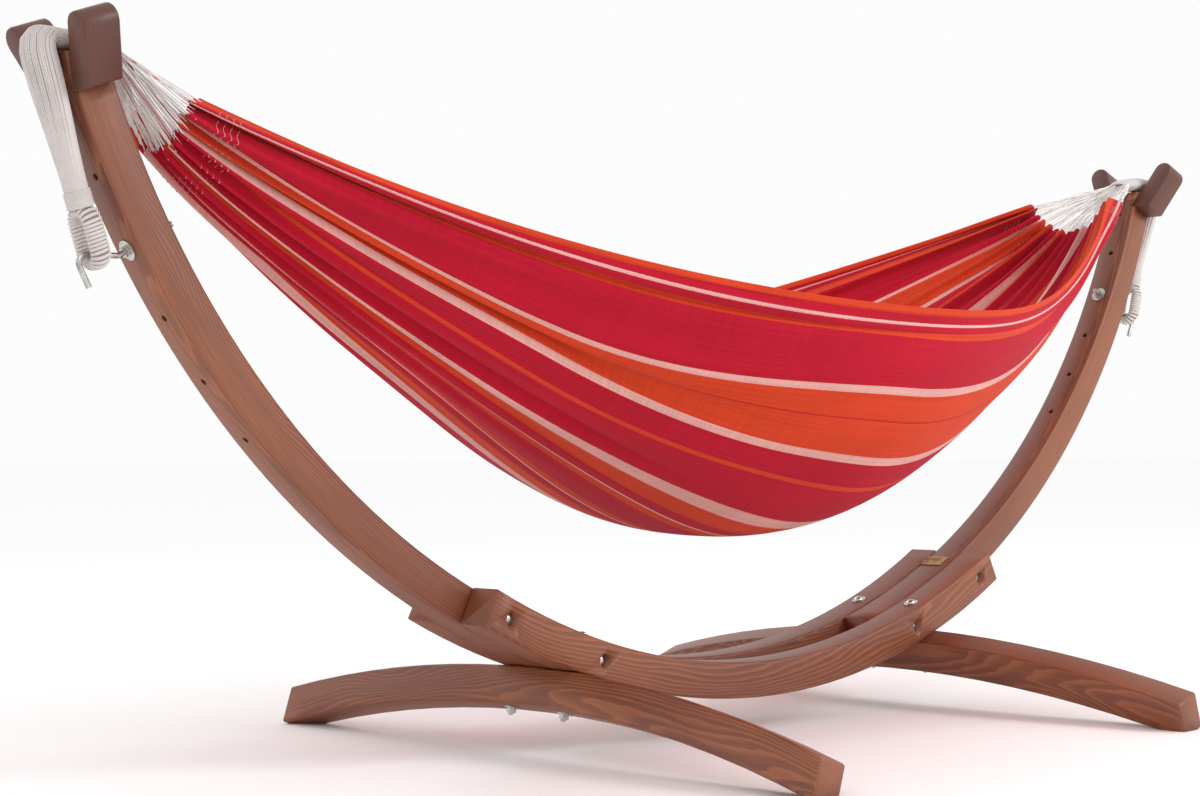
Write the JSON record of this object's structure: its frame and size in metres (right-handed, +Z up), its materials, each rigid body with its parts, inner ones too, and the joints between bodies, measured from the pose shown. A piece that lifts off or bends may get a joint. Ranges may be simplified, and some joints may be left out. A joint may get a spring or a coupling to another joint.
{
  "type": "hammock on stand",
  "caption": "Cotton hammock slung between two curved wooden masts that rise from clasping rails on arched cross feet.",
  "frame": {"origin": "on the ground, midway between the masts and between the ends of the feet", "axes": "+X from the left mast to the right mast, +Y from the front rail to the rear rail, +Z up"},
  "size_m": [2.5919, 1.156, 1.0255],
  "materials": {
    "stained_pine": "satin",
    "dark_stained_pine": "satin",
    "zinc_plate": "satin",
    "brass_plate": "satin",
    "cotton_rope": "matte",
    "striped_cotton": "matte"
  },
  "bodies": {
    "stand": {"front_rail": "stained_pine", "rear_rail": "stained_pine", "left_mast": "stained_pine", "right_mast": "stained_pine", "left_foot": "stained_pine", "right_foot": "stained_pine", "left_front_fork_block": "dark_stained_pine", "left_rear_fork_block": "dark_stained_pine", "right_front_fork_block": "dark_stained_pine", "right_rear_fork_block": "dark_stained_pine", "left_hook": "zinc_plate", "left_inner_hook_washer": "zinc_plate", "left_inner_hook_nut": "zinc_plate", "left_outer_hook_washer": "zinc_plate", "left_outer_hook_nut": "zinc_plate", "left_outer_rail_bolt": "zinc_plate", "left_outer_rail_washer": "zinc_plate", "left_outer_rail_nut": "zinc_plate", "left_inner_rail_bolt": "zinc_plate", "left_inner_rail_washer": "zinc_plate", "left_inner_rail_nut": "zinc_plate", "left_front_foot_bolt": "zinc_plate", "left_front_foot_bolt_washer": "zinc_plate", "left_front_foot_nut_washer": "zinc_plate", "left_front_foot_nut": "zinc_plate", "left_rear_foot_bolt": "zinc_plate", "left_rear_foot_bolt_washer": "zinc_plate", "left_rear_foot_nut_washer": "zinc_plate", "left_rear_foot_nut": "zinc_plate", "right_hook": "zinc_plate", "right_inner_hook_washer": "zinc_plate", "right_inner_hook_nut": "zinc_plate", "right_outer_hook_washer": "zinc_plate", "right_outer_hook_nut": "zinc_plate", "right_outer_rail_bolt": "zinc_plate", "right_outer_rail_washer": "zinc_plate", "right_outer_rail_nut": "zinc_plate", "right_inner_rail_bolt": "zinc_plate", "right_inner_rail_washer": "zinc_plate", "right_inner_rail_nut": "zinc_plate", "right_front_foot_bolt": "zinc_plate", "right_front_foot_bolt_washer": "zinc_plate", "right_front_foot_nut_washer": "zinc_plate", "right_front_foot_nut": "zinc_plate", "right_rear_foot_bolt": "zinc_plate", "right_rear_foot_bolt_washer": "zinc_plate", "right_rear_foot_nut_washer": "zinc_plate", "right_rear_foot_nut": "zinc_plate", "left_rope_tail": "cotton_rope", "left_whipping": "cotton_rope", "left_eye_loop": "cotton_rope", "right_rope_tail": "cotton_rope", "right_whipping": "cotton_rope", "right_eye_loop": "cotton_rope", "blank_plate": "brass_plate"},
    "hammock": {"hammock_bed": "striped_cotton", "left_string_fan": "cotton_rope", "right_string_fan": "cotton_rope"}
  },
  "joints": [
    {"name": "hammock_swing", "type": "hinge", "parent": "stand", "child": "hammock", "pos_m": [0, 0, 0.98154], "axis": [1, 0, 0], "range_deg": [-30, 30]}
  ]
}
